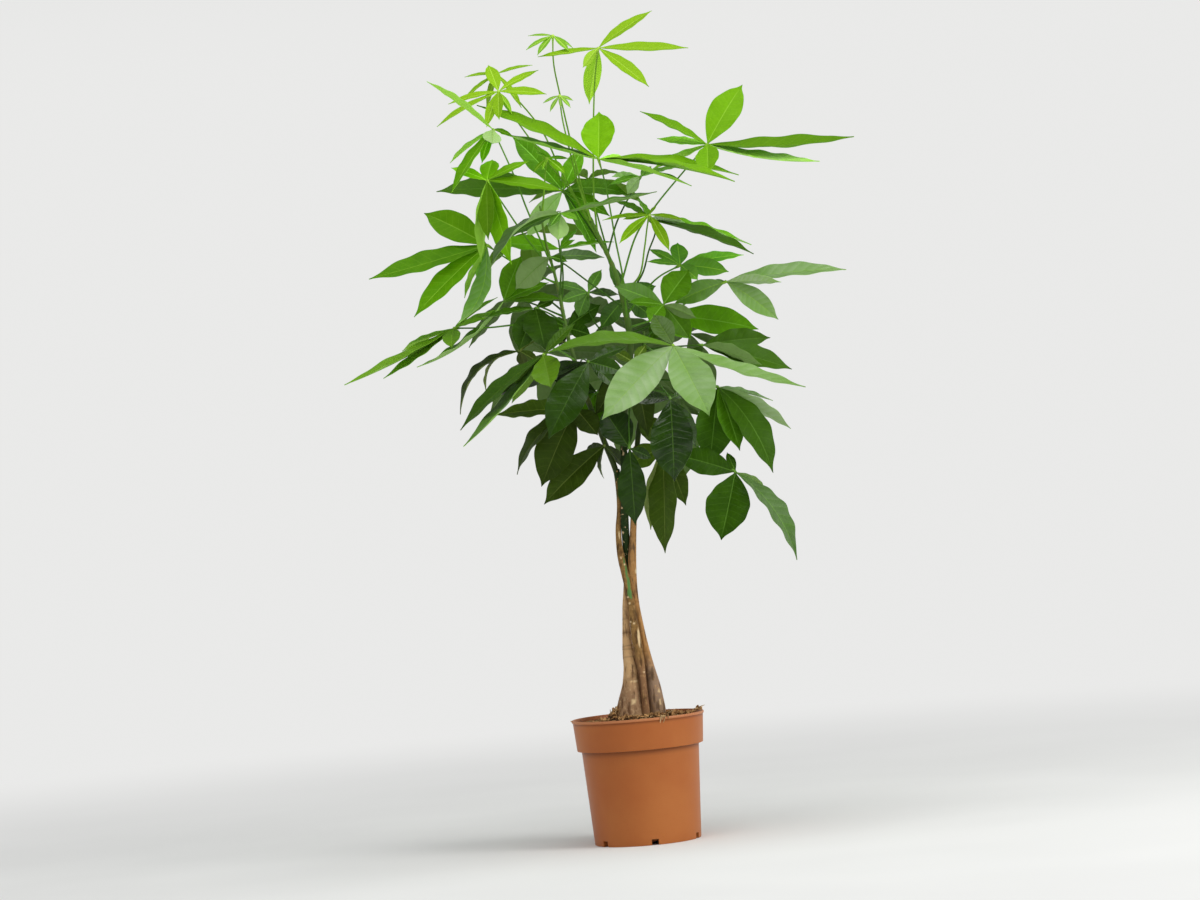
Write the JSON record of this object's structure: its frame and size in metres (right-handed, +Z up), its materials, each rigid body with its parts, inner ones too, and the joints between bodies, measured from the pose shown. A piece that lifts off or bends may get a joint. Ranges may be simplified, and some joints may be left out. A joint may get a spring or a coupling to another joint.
{
  "type": "potted money tree",
  "caption": "Young money tree with slender twined trunks, long-stalked hand-shaped leaves and a stepped plastic nursery pot filled with bark-rich soil.",
  "frame": {"origin": "middle of the pot's underside, on the plane that the pot stands on, which is also the middle of the bottom of the plant's overall box to within a few millimetres", "axes": "+Z up along the pot's axis, the front of the plant is on the -Y side, +X to the right when it is looked at from the front"},
  "size_m": [0.6792, 0.4452, 1.0673],
  "materials": {
    "terracotta_plastic": "satin",
    "potting_soil": "matte",
    "bark": "matte",
    "green_shoot": "satin",
    "young_leaf": "satin",
    "fresh_leaf": "satin",
    "mature_leaf": "satin"
  },
  "bodies": {
    "root": {"pot": "terracotta_plastic", "soil": "potting_soil", "trunk_left": "bark", "trunk_middle": "bark", "trunk_right": "bark", "shoot_left": "green_shoot", "shoot_middle": "green_shoot", "shoot_right": "green_shoot", "leaf_top": "young_leaf", "leaf_tip_left": "young_leaf", "leaf_bud": "young_leaf", "leaf_upper_left_back": "young_leaf", "leaf_upper_left_front": "young_leaf", "leaf_high_middle": "fresh_leaf", "leaf_high_left": "fresh_leaf", "leaf_high_right": "fresh_leaf", "leaf_bright_right": "young_leaf", "leaf_long_right": "mature_leaf", "leaf_grey_middle": "mature_leaf", "leaf_dark_upper": "mature_leaf", "leaf_young_left": "young_leaf", "leaf_left_upper": "fresh_leaf", "leaf_left_wide": "fresh_leaf", "leaf_arching": "mature_leaf", "leaf_inner_upper": "mature_leaf", "leaf_grey_left": "mature_leaf", "leaf_left_middle": "mature_leaf", "leaf_far_left": "fresh_leaf", "leaf_dark_left": "mature_leaf", "leaf_drooping_left": "mature_leaf", "leaf_front_left": "fresh_leaf", "leaf_hero": "fresh_leaf", "leaf_front_dark": "mature_leaf", "leaf_on_trunks": "mature_leaf", "leaf_glossy": "mature_leaf", "leaf_low_right": "mature_leaf", "leaf_right_lower": "mature_leaf", "leaf_right_middle": "mature_leaf", "leaf_right_upper": "fresh_leaf", "leaf_far_right": "fresh_leaf", "leaf_right_deep": "mature_leaf", "leaf_right_back": "mature_leaf", "leaf_low_left": "mature_leaf", "leaf_left_lower": "mature_leaf", "leaf_below_right": "mature_leaf", "leaf_inner_left": "mature_leaf", "leaf_inner_middle": "mature_leaf", "leaf_inner_right": "mature_leaf", "leaf_inner_low": "mature_leaf", "leaf_shaded": "mature_leaf", "leaf_back_1": "mature_leaf", "leaf_back_2": "mature_leaf", "leaf_back_3": "mature_leaf", "leaf_back_4": "mature_leaf", "leaf_back_5": "mature_leaf", "leaf_back_6": "mature_leaf", "leaf_back_7": "fresh_leaf", "leaf_back_8": "fresh_leaf"}
  },
  "joints": []
}
